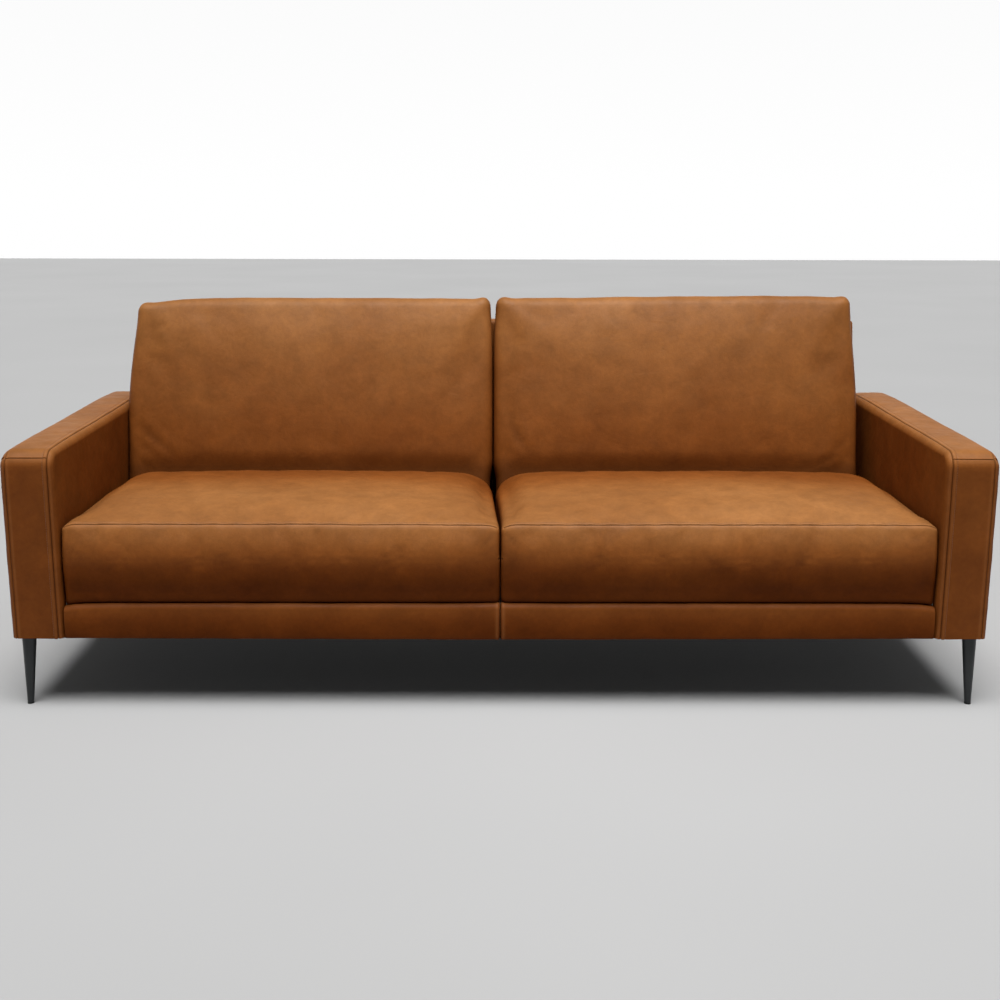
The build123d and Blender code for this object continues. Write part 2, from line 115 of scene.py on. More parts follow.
def noise_texture(tree, vector, scale, detail, roughness, distortion=0.0):
    sockets = {"Scale": scale, "Detail": detail, "Roughness": roughness, "Distortion": distortion}
    return texture(tree, "Noise", vector, **sockets).outputs["Fac"]


def ramp(tree, value, stops):
    """Colour ramp through (position, colour) stops; a colour is three numbers or one grey."""
    node = tree.nodes.new("ShaderNodeValToRGB")
    elements = node.color_ramp.elements
    while len(elements) < len(stops):
        elements.new(0.5)
    for element, (position, colour) in zip(elements, stops):
        element.position = position
        rgb = colour if isinstance(colour, tuple) else (colour, colour, colour)
        element.color = (*rgb, 1)
    tree.links.new(value, node.inputs["Fac"])
    return node.outputs["Color"]


def mix_colour(tree, factor, first, second, blend="MIX"):
    """Blend two colours; factor, first and second are sockets or plain values."""
    node = tree.nodes.new("ShaderNodeMix")
    node.data_type = "RGBA"
    node.blend_type = blend
    for socket, value in ((node.inputs[0], factor), (node.inputs[6], first), (node.inputs[7], second)):
        if isinstance(value, bpy.types.NodeSocket):
            tree.links.new(value, socket)
        else:
            socket.default_value = (*value, 1) if isinstance(value, tuple) else value
    return node.outputs[2]


def bump(tree, height, strength, distance, below=None):
    node = tree.nodes.new("ShaderNodeBump")
    node.inputs["Strength"].default_value = strength
    node.inputs["Distance"].default_value = distance
    tree.links.new(height, node.inputs["Height"])
    if below is not None:
        tree.links.new(below, node.inputs["Normal"])
    return node.outputs["Normal"]


def attribute(tree, name):
    """Value of one of the mesh's point attributes."""
    node = tree.nodes.new("ShaderNodeAttribute")
    node.attribute_name = name
    return node.outputs["Fac"]


def leather_material(name, shift):
    """Cognac aniline leather: cloudy pull-up colour and pebbled grain, with painted shade in seams and
    creases and painted highlights beside seams.

    The three mesh attributes hold painted shade in seams, folds and creases, painted highlights beside
    seams, and painted light and shade by facing and place, which also sets the specular level.
    """
    material, tree, shader = new_material(name)
    place = object_coordinates(tree, shift=shift)
    clouds = noise_texture(tree, place, 3.4, 4, 0.55, 0.2)
    mottle = noise_texture(tree, place, 19, 7, 0.60, 0.3)
    specks = noise_texture(tree, place, 90, 5, 0.7)
    cloud_colour = ramp(tree, clouds, [
        (0.28, (0.238, 0.090, 0.0235)),
        (0.52, (0.280, 0.112, 0.0310)),
        (0.76, (0.330, 0.140, 0.0425)),
    ])
    mottle_grey = ramp(tree, mottle, [(0.30, 0.31), (0.50, 0.50), (0.72, 0.71)])
    speck_grey = ramp(tree, specks, [(0.30, 0.40), (0.70, 0.60)])
    colour = mix_colour(tree, 0.35, cloud_colour, mottle_grey, "OVERLAY")
    colour = mix_colour(tree, 0.40, colour, speck_grey, "OVERLAY")

    painted_crease_shade, painted_highlight, painted_light = (attribute(tree, key) for key in ("painted_crease_shade", "painted_highlight", "painted_light"))
    # Painted light and shade: darker where the painted-light attribute is low, the plain colour where it is
    # high.
    painted_light_tint = ramp(tree, painted_light, [
        (0.0, (0.34, 0.18, 0.07)),
        (0.25, (0.50, 0.31, 0.14)),
        (0.50, (0.76, 0.58, 0.38)),
        (0.75, (0.94, 0.87, 0.76)),
        (1.0, (1.0, 1.0, 1.0)),
    ])
    colour = mix_colour(tree, 1.0, colour, painted_light_tint, "MULTIPLY")
    # Painted shade in seams, folds and creases, then painted highlights beside seams.
    colour = mix_colour(tree, painted_crease_shade, colour, PAINTED_SHADE_COLOUR)
    colour = mix_colour(tree, painted_highlight, colour, PAINTED_HIGHLIGHT_COLOUR)
    tree.links.new(colour, shader.inputs["Base Color"])

    pebbles = texture(tree, "Voronoi", place, Scale=420)
    pebbles.feature = "SMOOTH_F1"
    pebbles.inputs["Smoothness"].default_value = 0.6
    fine_folds = noise_texture(tree, place, 75, 6, 0.6, 1.5)
    soft_folds = noise_texture(tree, place, 16, 3, 0.5, 0.8)
    normal = bump(tree, soft_folds, 0.35, 4 * MM)
    normal = bump(tree, fine_folds, 0.35, 1.1 * MM, normal)
    normal = bump(tree, pebbles.outputs["Distance"], 0.30, 0.35 * MM, normal)
    tree.links.new(normal, shader.inputs["Normal"])

    gloss = noise_texture(tree, place, 22, 4, 0.6, 0.5)
    tree.links.new(ramp(tree, gloss, [(0.3, 0.46), (0.7, 0.60)]), shader.inputs["Roughness"])
    # The specular level follows the painted light too: lower where shade is painted, higher on the lit
    # parts.
    gloss_by_painted_light = ramp(tree, painted_light, [(0.15, 0.04), (0.75, 0.15)])
    tree.links.new(gloss_by_painted_light, shader.inputs["Specular IOR Level"])
    return material


def woven_material(name, dark, light, threads):
    """Plain woven cloth with threads per metre along X and Y."""
    material, tree, shader = new_material(name)
    place = object_coordinates(tree)
    waves = []
    for direction in ("X", "Y"):
        wave = texture(tree, "Wave", place, Scale=threads / 20, Distortion=0.6, Detail=1.0)
        wave.bands_direction = direction
        waves.append(wave.outputs["Fac"])
    product = tree.nodes.new("ShaderNodeMath")
    product.operation = "MULTIPLY"
    for wave, socket in zip(waves, product.inputs):
        tree.links.new(wave, socket)
    fuzz = noise_texture(tree, place, 160, 4, 0.7)
    colour = mix_colour(tree, product.outputs[0], dark, light)
    fuzz_grey = ramp(tree, fuzz, [(0.3, 0.35), (0.7, 0.65)])
    colour = mix_colour(tree, 0.4, colour, fuzz_grey, "OVERLAY")
    tree.links.new(colour, shader.inputs["Base Color"])
    tree.links.new(bump(tree, product.outputs[0], 0.5, 0.4 * MM), shader.inputs["Normal"])
    shader.inputs["Roughness"].default_value = 0.9
    return material


def wood_material(name, dark, light):
    """Sawn timber with its grain along X."""
    material, tree, shader = new_material(name)
    place = object_coordinates(tree, (1.0, 6.0, 6.0))
    rings = noise_texture(tree, place, 9.0, 6, 0.6, 2.0)
    pores = noise_texture(tree, object_coordinates(tree, (8, 60, 60)), 12, 3, 0.6)
    colour = ramp(tree, rings, [(0.3, dark), (0.7, light)])
    pore_grey = ramp(tree, pores, [(0.4, 0.42), (0.6, 0.56)])
    colour = mix_colour(tree, 0.5, colour, pore_grey, "OVERLAY")
    tree.links.new(colour, shader.inputs["Base Color"])
    tree.links.new(bump(tree, pores, 0.3, 0.3 * MM), shader.inputs["Normal"])
    tree.links.new(ramp(tree, rings, [(0.2, 0.55), (0.8, 0.75)]), shader.inputs["Roughness"])
    return material


def foam_material(name, dark, light, cell_scale):
    """Open-cell foam, felt or fibre board: fine cells in a slightly uneven colour."""
    material, tree, shader = new_material(name)
    place = object_coordinates(tree)
    cells = texture(tree, "Voronoi", place, Scale=cell_scale)
    patches = noise_texture(tree, place, 6, 4, 0.6)
    tree.links.new(ramp(tree, patches, [(0.3, dark), (0.7, light)]), shader.inputs["Base Color"])
    tree.links.new(bump(tree, cells.outputs["Distance"], 0.6, 0.8 * MM), shader.inputs["Normal"])
    shader.inputs["Roughness"].default_value = 0.95
    return material


def metal_material(name, dark, light, metallic, smooth, rough):
    """Powder-coated or plated metal with a fine orange-peel surface and slight wear.

    Smooth and rough are the roughness of its smoothest and its roughest patches.
    """
    material, tree, shader = new_material(name)
    place = object_coordinates(tree)
    patches = noise_texture(tree, place, 14, 5, 0.6)
    peel = noise_texture(tree, place, 900, 2, 0.5)
    tree.links.new(ramp(tree, patches, [(0.35, dark), (0.65, light)]), shader.inputs["Base Color"])
    tree.links.new(ramp(tree, patches, [(0.3, smooth), (0.7, rough)]), shader.inputs["Roughness"])
    tree.links.new(bump(tree, peel, 0.25, 0.12 * MM), shader.inputs["Normal"])
    shader.inputs["Metallic"].default_value = metallic
    return material


def thread_material(name):
    """Twisted sewing thread in a tone lighter than the leather."""
    material, tree, shader = new_material(name)
    twist = noise_texture(tree, object_coordinates(tree), 1500, 2, 0.5)
    colour = ramp(tree, twist, [(0.3, THREAD_DARK), (0.7, THREAD_LIGHT)])
    tree.links.new(colour, shader.inputs["Base Color"])
    tree.links.new(bump(tree, twist, 0.5, 0.15 * MM), shader.inputs["Normal"])
    shader.inputs["Roughness"].default_value = 0.6
    return material


ARM_LEATHER = leather_material("leather_arms", (0.0, 0.0, 0.0))
SEAT_LEATHER = leather_material("leather_seats", (3.1, 1.7, 0.4))
BACK_LEATHER = leather_material("leather_backs", (7.3, 2.2, 5.9))
FRAME_LEATHER = leather_material("leather_frame", (1.9, 8.4, 2.6))
THREAD = thread_material("thread")

NODE_MATERIALS = {
    "timber": wood_material("timber", (0.30, 0.17, 0.08), (0.52, 0.34, 0.18)),
    "board": foam_material("fibre_board", (0.20, 0.12, 0.06), (0.30, 0.19, 0.10), 700),
    "foam": foam_material("foam", (0.62, 0.55, 0.36), (0.74, 0.67, 0.46), 500),
    "felt": foam_material("felt", (0.16, 0.16, 0.15), (0.26, 0.25, 0.24), 900),
    "deck_cloth": woven_material("deck_cloth", (0.030, 0.016, 0.010), (0.085, 0.050, 0.032), 900),
    "dust_cloth": woven_material("dust_cloth", (0.008, 0.008, 0.008), (0.030, 0.030, 0.030), 700),
    "webbing": woven_material("webbing", (0.010, 0.010, 0.012), (0.060, 0.060, 0.066), 400),
    "spring_steel": metal_material("spring_steel", (0.10, 0.10, 0.11), (0.20, 0.20, 0.21), 0.9, 0.35, 0.5),
    "zinc_steel": metal_material("zinc_steel", (0.45, 0.46, 0.48), (0.62, 0.63, 0.65), 1.0, 0.28, 0.42),
    "leg_metal": metal_material("leg_metal", (0.014, 0.016, 0.017), (0.024, 0.026, 0.027), 0.25, 0.34, 0.46),
    "nylon": foam_material("nylon", (0.010, 0.010, 0.010), (0.020, 0.020, 0.020), 1200),
    "leather": FRAME_LEATHER,
}


def dress_nodes():
    """Give every carried-over CAD node the material of its slot."""
    for entry in frame["record"]["subparts"]:
        mesh = frame["nodes"][entry["node"]].data
        mesh.materials.clear()
        mesh.materials.append(NODE_MATERIALS[entry["material_slot"]])


# ============================== rounded boxes
FAR = 1.0  # a distance at which a seam has no effect
TOUCH = 1e-6  # a point this close to a face or line is on it
TINY = 1e-9  # keeps a length off zero
EDGE_ROWS = [0, 1.2, 2.6, 4.5, 7, 10, 14, 18, 23]  # millimetres in from an edge or to each side of a seam


def grid_line(low, high, step, seams=(), edge_rows=EDGE_ROWS):
    """Row positions from low to high, at about one step, closer together at both ends and at seams."""
    close = {low, high}
    for seam, ways in [(low, (1,)), (high, (-1,))] + [(s, (-1, 1)) for s in seams]:
        close |= {seam + way * row * MM for way in ways for row in edge_rows}
    close = sorted(p for p in close if low <= p <= high)
    rows = [close[0]]
    for position in close[1:]:
        gap = position - rows[-1]
        if gap > 1.5 * step:
            count = round(gap / step)
            start = rows[-1]
            rows += [start + gap * k / count for k in range(1, count)]
        if position - rows[-1] > 0.4 * MM:
            rows.append(position)
    return rows


def box_surface(rows):
    """Vertices and quads of a closed box surface through the rows along X, Y and Z."""
    counts = [len(r) for r in rows]
    index, points, quads = {}, [], []

    def vertex(place):
        if place not in index:
            index[place] = len(points)
            points.append([rows[a][place[a]] for a in range(3)])
        return index[place]

    for axis in range(3):
        u_axis, v_axis = [a for a in range(3) if a != axis]
        for end in (0, counts[axis] - 1):
            outward = (end != 0) == (axis != 1)
            for u in range(counts[u_axis] - 1):
                for v in range(counts[v_axis] - 1):
                    corner = [0, 0, 0]
                    loop = []
                    for du, dv in ((0, 0), (1, 0), (1, 1), (0, 1)):
                        corner[axis], corner[u_axis], corner[v_axis] = end, u + du, v + dv
                        loop.append(vertex(tuple(corner)))
                    quads.append(loop if outward else loop[::-1])
    return np.array(points), quads


def round_edges(points, low, high, radius):
    """Round all edges of a box's surface points to one radius."""
    inner_low, inner_high = np.array(low) + radius, np.array(high) - radius
    core = np.clip(points, inner_low, inner_high)
    away = points - core
    length = np.maximum(np.linalg.norm(away, axis=1, keepdims=True), TINY)
    return core + away / length * radius


def round_corner(points, axes, centre, ways, reach, edge=0.0):
    """Bend the corner beyond a centre, in the plane of two axes, into a quarter circle or ellipse.

    Reach is how far the surface goes beyond the centre along each axis, and edge is the radius, as a share
    of the reach, that the corner has already.
    """
    a = (points[:, axes[0]] - centre[0]) * ways[0] / reach[0]
    b = (points[:, axes[1]] - centre[1]) * ways[1] / reach[1]
    inside = (a > 0) & (b > 0)
    spread = np.maximum(np.hypot(a, b), TINY)
    square = (a + b - np.sqrt(np.maximum(2 * edge * edge - (a - b) ** 2, 0))) / 2
    ring = np.where(np.abs(a - b) >= edge, np.maximum(a, b), np.where(square > 0, square + edge, spread))
    scale = np.where(inside, ring / spread, 1.0)
    points[:, axes[0]] = np.where(inside, centre[0] + a * scale * ways[0] * reach[0], points[:, axes[0]])
    points[:, axes[1]] = np.where(inside, centre[1] + b * scale * ways[1] * reach[1], points[:, axes[1]])
    return points


def fall(distance, radius):
    """How far a quarter round of a radius has fallen at a distance from its outer end."""
    d = np.clip(radius - distance, 0, radius)
    return radius - np.sqrt(radius * radius - d * d)


def dome(position, low, high, power=2.4):
    """1 in the middle of a span, falling smoothly to 0 at both ends."""
    t = np.clip((2 * position - low - high) / (high - low), -1, 1)
    return 1 - np.abs(t) ** power


def shoulder(distance):
    """Fall of a round shoulder: 1 at its edge, 0 at a distance of 1 and beyond."""
    d = np.clip(1 - distance, 0, 1)
    return 1 - np.sqrt(1 - 0.98 * d * d)


def smooth_step(value, start, end):
    t = np.clip((value - start) / (end - start), 0, 1)
    return t * t * (3 - 2 * t)


def fading(value, start, end):
    """1 up to the start, falling smoothly to 0 at the end."""
    return 1 - smooth_step(value, start, end)


def bell(distance, width):
    return np.exp(-((distance / width) ** 2))


def groove(distance, depth, width, lip=0.18):
    """Seam profile against the distance from its line: a valley with a low lip to each side."""
    return -depth * bell(distance, width) + lip * depth * bell(np.abs(distance) - 2.6 * width, 1.3 * width)


def normals_of(points, quads):
    """Average outward normals of the points."""
    q = np.array(quads)
    across = np.cross(points[q[:, 2]] - points[q[:, 0]], points[q[:, 3]] - points[q[:, 1]])
    total = np.zeros_like(points)
    for corner in range(4):
        np.add.at(total, q[:, corner], across)
    return total / np.maximum(np.linalg.norm(total, axis=1, keepdims=True), 1e-12)


def ripple(points, size, seed):
    """Smooth noise between about -1 and 1 with features of the given size."""
    offset = Vector((seed * 7.1, seed * 3.7, seed * 5.3))
    return np.array([noise.noise(Vector(p) / size + offset) for p in points])


def bare_object(name, points, quads):
    mesh = bpy.data.meshes.new(name)
    mesh.from_pydata([tuple(p) for p in points], [], quads)
    obj = bpy.data.objects.new(name, mesh)
    scene.collection.objects.link(obj)
    return obj


def make_object(name, points, quads, material, body, attributes=None):
    """A smooth-shaded object that rides on a body, with its point attributes held within 0 and 1."""
    obj = bare_object(name, points, quads)
    mesh = obj.data
    mesh.polygons.foreach_set("use_smooth", [True] * len(mesh.polygons))
    for key, values in (attributes or {}).items():
        layer = mesh.attributes.new(key, "FLOAT", "POINT")
        layer.data.foreach_set("value", np.clip(values, 0, 1).astype(np.float32))
    mesh.materials.append(material)
    mesh.update()
    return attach(obj, body)


# ============================== cloth simulation
SIM_FRAMES = 18
PUFF_PRESSURE = 3.0
SKIN_SLACK = -0.012  # the skin is cut this share larger than its filling
PUFF_LIMIT = 13 * MM
PUFF_SHARE = 0.65  # the filling holds back the rest of the movement


def puff(points, quads, pinned):
    """Blow up a closed skin with the cloth solver and return how far each point moved, up to a limit."""
    obj = bare_object("puff", points, quads)
    group = obj.vertex_groups.new(name="pin")
    for index, weight in enumerate(pinned):
        if weight > 0:
            group.add([index], float(weight), "REPLACE")
    cloth = obj.modifiers.new("puff", "CLOTH")
    settings = cloth.settings
    settings.quality = 6
    settings.mass = 0.25
    settings.tension_stiffness = 30
    settings.compression_stiffness = 12
    settings.shear_stiffness = 8
    settings.bending_stiffness = 0.35
    settings.use_pressure = True
    settings.uniform_pressure_force = PUFF_PRESSURE
    settings.shrink_min = SKIN_SLACK
    settings.vertex_group_mass = "pin"
    settings.effector_weights.gravity = 0
    cloth.collision_settings.use_collision = False
    for step in range(1, SIM_FRAMES + 1):
        scene.frame_set(step)
    settled = obj.evaluated_get(bpy.context.evaluated_depsgraph_get())
    moved = np.empty(len(points) * 3)
    settled.data.vertices.foreach_get("co", moved)
    moved = moved.reshape(-1, 3) - points
    length = np.maximum(np.linalg.norm(moved, axis=1, keepdims=True), TINY)
    moved *= PUFF_SHARE * np.minimum(1, PUFF_LIMIT / length)
    mesh = obj.data
    bpy.data.objects.remove(obj)
    bpy.data.meshes.remove(mesh)
    scene.frame_set(1)
    return moved


def carry_over(coarse, moved, fine):
    """Spread a coarse skin's movement over a finer skin of the same shape."""
    tree = kdtree.KDTree(len(coarse))
    for index, point in enumerate(coarse):
        tree.insert(point, index)
    tree.balance()
    result = np.zeros_like(fine)
    for row, point in enumerate(fine):
        near = tree.find_n(point, 6)
        weights = np.array([1 / (distance * distance + 9e-6) for _, _, distance in near])
        result[row] = weights @ moved[[index for _, index, _ in near]] / weights.sum()
    return result


def add_folds(points, normals, folds):
    """Press soft folds into a skin; each is (start, end, width, depth), with a low ridge beside it."""
    shift = np.zeros(len(points))
    for start, end, width, depth in folds:
        start, end = np.array(start), np.array(end)
        along = end - start
        length = np.linalg.norm(along)
        t = np.clip((points - start) @ along / length**2, 0, 1)
        distance = np.linalg.norm(points - (start + t[:, None] * along), axis=1)
        taper = np.sin(np.pi * np.clip(t, 0.04, 0.96)) ** 0.7
        ridge = 0.45 * bell(distance - 1.9 * width, width)
        shift += taper * depth * (ridge - bell(distance, width))
    return points + normals * shift[:, None], shift


# ============================== stitches
STITCH_LENGTH, STITCH_PITCH = 4.2 * MM, 5.6 * MM
STITCH_RADIUS = 0.42 * MM
STITCH_SIDES = 6
# a stitch's rings: place along its length, lift and size in radii
STITCH_RINGS = [(0, -0.6, 0.55), (0.3, 0.7, 1.0), (0.7, 0.7, 1.0), (1, -0.6, 0.55)]


def stitch_row(name, path, normals, body):
    """A row of short stitches that lie along a path on the leather."""
    path, normals = np.array(path), np.array(normals)
    steps = np.linalg.norm(np.diff(path, axis=0), axis=1)
    travelled = np.concatenate([[0], np.cumsum(steps)])
    points, quads = [], []
    sides = STITCH_SIDES

    def along(values, distance):
        return np.array([np.interp(distance, travelled, values[:, a]) for a in range(3)])

    for start in np.arange(STITCH_PITCH, travelled[-1] - STITCH_PITCH, STITCH_PITCH):
        first = len(points)
        for share, lift, size in STITCH_RINGS:
            distance = start + STITCH_LENGTH * share
            here = along(path, distance)
            ahead = along(path, distance + MM) - here
            up = along(normals, distance)
            up /= max(np.linalg.norm(up), TINY)
            across = np.cross(up, ahead)
            across /= max(np.linalg.norm(across), TINY)
            for k in range(sides):
                angle = 2 * math.pi * k / sides
                ring = (math.cos(angle) * across + math.sin(angle) * up) * size
                points.append(here + (ring + up * lift) * STITCH_RADIUS)
        last = first + (len(STITCH_RINGS) - 1) * sides
        for ring in range(len(STITCH_RINGS) - 1):
            for k in range(sides):
                a, b = first + ring * sides + k, first + ring * sides + (k + 1) % sides
                quads.append([a, b, b + sides, a + sides])
        quads.append([first + k for k in reversed(range(sides))])
        quads.append([last + k for k in range(sides)])
    obj = make_object(name, points, quads, THREAD, body)
    return obj


# ============================== loose cushions
COARSE_ROWS = [0, 7, 15, 24]
CUSHION_STEP, COARSE_STEP = 9 * MM, 18 * MM  # between the rows of points, away from edges and seams
SEAT_EDGE = 12 * MM
SEAT_SIDE_SEAM = DECK_TOP + 110 * MM
SEAT_DOME = 21 * MM  # rise of its top, in the middle
SEAT_BELLY = 24 * MM  # swell of its front
SEAT_INNER_SHOULDER, SEAT_OUTER_SHOULDER = 100 * MM, 90 * MM  # width of the rounding along its sides
SEAT_REAR_RADIUS = 46 * MM
SEAT_CROWN = 12 * MM  # the flat form of a seat is this much lower than its solid
CORNER_SAG = 8 * MM  # the crease between seat and border drops this far at its outer ends
CORNER_SAG_REACH = 30 * MM
BACK_EDGE = 27 * MM
BACK_THICKNESS = 180 * MM
BACK_BELLY = 23 * MM  # swell of its front
BACK_CROWN = 11 * MM  # the filling lifts the top edge of a back cushion this far above its solid's flat top
GUSSET_SEAM = 36 * MM  # from the front of a back cushion to the seam on its top and sides


def shape_seat(box, low, high, skew):
    """Seat cushion on the right, from box coordinates to its crowned form.

    Skew moves the rear end of its inner side, where the two cushions press on each other.
    """
    points = round_edges(box, low, high, SEAT_EDGE)
    rear_centre = high[1:] - SEAT_REAR_RADIUS
    points = round_corner(points, (1, 2), rear_centre, (1, 1), (SEAT_REAR_RADIUS, SEAT_REAR_RADIUS))
    x, y, z = points.T.copy()
    from_side = np.minimum(x - low[0], high[0] - x)
    across = dome(x, low[0], high[0], 2.6)
    deep = dome(y, low[1] - 0.01, high[1] + 0.05, 2.4)
    top = smooth_step(z, low[2] + 0.05, high[2])
    soft_end = smooth_step(y, low[1] - 0.01, low[1] + 0.15)
    near_front = bell(y - low[1], 0.060)
    lift = SEAT_DOME * across * deep - 5 * MM * near_front
    rear_drop = 18 * MM * smooth_step(y, high[1] - 0.24, high[1] - 0.04)
    inner_drop, outer_drop = 28 * MM + rear_drop, 24 * MM + rear_drop
    lift -= inner_drop * soft_end * shoulder((x - low[0]) / SEAT_INNER_SHOULDER)
    lift -= outer_drop * soft_end * shoulder((high[0] - x) / SEAT_OUTER_SHOULDER)
    lift -= 6 * MM * bell(from_side, 0.016) * near_front
    points[:, 2] += top * lift
    # the front face bellies out under its seam, and tucks in over the border
    tall = np.clip((z - low[2]) / (high[2] - low[2]), 0, 1)
    front_zone = fading(y, low[1], low[1] + 0.10)
    full = 0.6 + 0.4 * (1 - np.exp(-from_side / 0.05))
    belly = np.sin(np.pi * tall) ** 0.65
    tuck = 5 * MM * fading(tall, 0, 0.2)
    points[:, 1] += front_zone * (9 * MM - SEAT_BELLY * belly * full - tuck)
    rise = points[:, 2] - low[2]
    points[:, 2] = low[2] + rise * (1 - 0.55 * front_zone * fading(rise, 0, 24 * MM))
    # its outer foot sags over the end of the border
    foot_sag = front_zone * np.exp(-(high[0] - x) / CORNER_SAG_REACH) * fading(rise, 0, 60 * MM)
    points[:, 2] -= CORNER_SAG * foot_sag
    # the rear face follows the lean of the back cushions
    rear_zone = smooth_step(y, high[1] - 0.2, high[1])
    points[:, 1] -= rear_zone * (high[2] - np.minimum(points[:, 2], high[2])) * math.tan(LEAN)
    # the inner side follows the neighbouring cushion, and both sides pull in between the corners
    inner_share = (high[0] - x) / (high[0] - low[0])
    points[:, 0] += skew * inner_share * smooth_step(y, low[1] + 0.02, high[1] - 0.05)
    inner_rear = np.exp(-(x - low[0]) / 0.05) * smooth_step(y, high[1] - 0.10, high[1]) * top
    points[:, 0] += 10 * MM * inner_rear
    middle = (low[0] + high[0]) / 2
    side_zone = smooth_step(np.abs(x - middle), 0.40, (high[0] - low[0]) / 2)
    points[:, 0] -= np.sign(x - middle) * 2.5 * MM * side_zone * dome(y, low[1], high[1], 2)
    # low down at the front, the two cushions press against each other
    inner_zone = fading(x, low[0], low[0] + 0.03) * fading(y, low[1] + 0.02, low[1] + 0.10)
    points[:, 0] -= 1.4 * MM * inner_zone * dome(tall, 0.0, 0.62, 4)
    return points


def shape_back(box, low, high, foot, corner_drop, pull_in, tilt):
    """Back cushion on the right, from upright box coordinates to its leaning, crowned form.

    Box Y runs through the thickness from the front, and box Z up along the lean from the foot.
    """
    points = round_edges(box, low, high, BACK_EDGE)
    x, y, z = points.T.copy()
    across = dome(x, low[0], high[0], 2.3)
    tall = dome(z, low[2] - 0.03, high[2] + 0.005, 2.2)
    front_zone = fading(y, 0.0, 0.09)
    points[:, 1] -= BACK_BELLY * front_zone * across * tall
    top_zone = smooth_step(z, high[2] - 0.16, high[2])
    points[:, 2] += 7 * MM * top_zone * dome(y, low[1], high[1], 2) * (0.5 + 0.5 * across)
    points[:, 2] -= corner_drop * top_zone * np.exp(-(high[0] - x) / 0.08)
    points[:, 2] += tilt * top_zone * (x - low[0]) / (high[0] - low[0])
    outer = smooth_step(x, high[0] - 0.25, high[0])
    points[:, 0] -= outer * (pull_in * smooth_step(z, 0.36, high[2]) - 3 * MM * dome(z, 0.2, high[2], 2))
    inner = fading(x, low[0], low[0] + 0.20)
    points[:, 0] += inner * 5 * MM * smooth_step(z, high[2] - 0.12, high[2])
    points[:, 0] -= inner * 1.5 * MM * dome(z, 0.05, high[2] - 0.10, 4)
    inner_foot = np.exp(-(x - low[0]) / 0.03) * fading(z, 0.16, 0.23)
    points[:, 0] += 8 * MM * inner_foot
    # the foot is level with the deck, and the whole cushion leans back
    points[:, 2] += points[:, 1] * math.tan(LEAN) * fading(z, 0, 0.22)
    y, z = points[:, 1].copy(), points[:, 2].copy()
    points[:, 1] = foot[1] + z * math.sin(LEAN) + y * math.cos(LEAN)
    points[:, 2] = foot[2] + z * math.cos(LEAN) - y * math.sin(LEAN)
    return points


def wound(quads, sign):
    """Quads that face outwards on the side given by sign, after its points are mirrored."""
    return quads if sign > 0 else [quad[::-1] for quad in quads]


def mirrored(points, quads, sign):
    """Points and quads on the side given by sign."""
    return points * np.array([sign, 1, 1]), wound(quads, sign)


def finish_cushion(kind, side, corners, seams, shape, zones, folds, material, seed):
    """Build, puff, seam and place one loose cushion.

    Corners are the low and high corners of its box, and seams the extra rows along X, Y and Z. Zones are
    functions of the box's points: seam_lines, and pin, mask, the painted light by place and the painted
    shade.
    Returns the dense box points, the skin's points and their normals.
    """
    spans = list(zip(*corners, seams))
    rows = [grid_line(low, high, CUSHION_STEP, seams=extra) for low, high, extra in spans]
    box, quads = box_surface(rows)
    base = shape(box)
    quads = wound(quads, SIDES[side])
    calm = normals_of(base, quads)
    mask = zones["mask"](box)
    rows = [grid_line(low, high, COARSE_STEP, edge_rows=COARSE_ROWS) for low, high, _ in spans]
    coarse_box, coarse_quads = box_surface(rows)
    coarse = shape(coarse_box)
    moved = puff(coarse, wound(coarse_quads, SIDES[side]), zones["pin"](coarse_box))
    base = base + mask[:, None] * carry_over(coarse, moved, base)
    normals = normals_of(base, quads)
    sag = 1.2 * MM * ripple(base, 0.10, seed) + 0.6 * MM * ripple(base, 0.035, seed + 1)
    base = base + normals * (sag * mask)[:, None]
    base, fold_shift = add_folds(base, normals, folds)
    seam_shift = np.zeros(len(base))
    # Painted shade in the valleys of the folds.
    painted_crease_shade = np.clip(-fold_shift / (7 * MM), 0, 0.25)
    painted_highlight = np.zeros(len(base))
    # Painted shade in each seam's groove and a painted highlight on the roll beside it.
    for distance, depth, width in zones["seam_lines"](box):
        seam_shift += groove(distance, depth, width)
        painted_crease_shade = np.maximum(painted_crease_shade, 0.70 * bell(distance, 0.9 * width))
        painted_highlight = np.maximum(painted_highlight, 0.18 * bell(distance - 3.2 * width, 1.4 * width))
    pucker = 1 + 0.5 * ripple(base, 0.016, seed + 2)
    base = base + normals * (seam_shift * pucker)[:, None]
    # Painted shade from the zone's shade function.
    painted_crease_shade = np.maximum(painted_crease_shade, zones["shade"](box))
    # Painted light and shade: lighter where the surface faces up, times the painted light by place.
    painted_light = (0.45 + 0.75 * (0.7 * calm[:, 2] + 0.3 * normals[:, 2])) * zones["painted_light_by_place"](box)
    body = f"{kind}_cushion_{side}"
    attributes = {"painted_crease_shade": painted_crease_shade, "painted_highlight": painted_highlight, "painted_light": painted_light}
    obj = make_object(f"{body}_leather", base, quads, material, body, attributes)
    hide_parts(f"{body}_cover", f"{body}_core")
    return box, base, normals_of(base, quads)


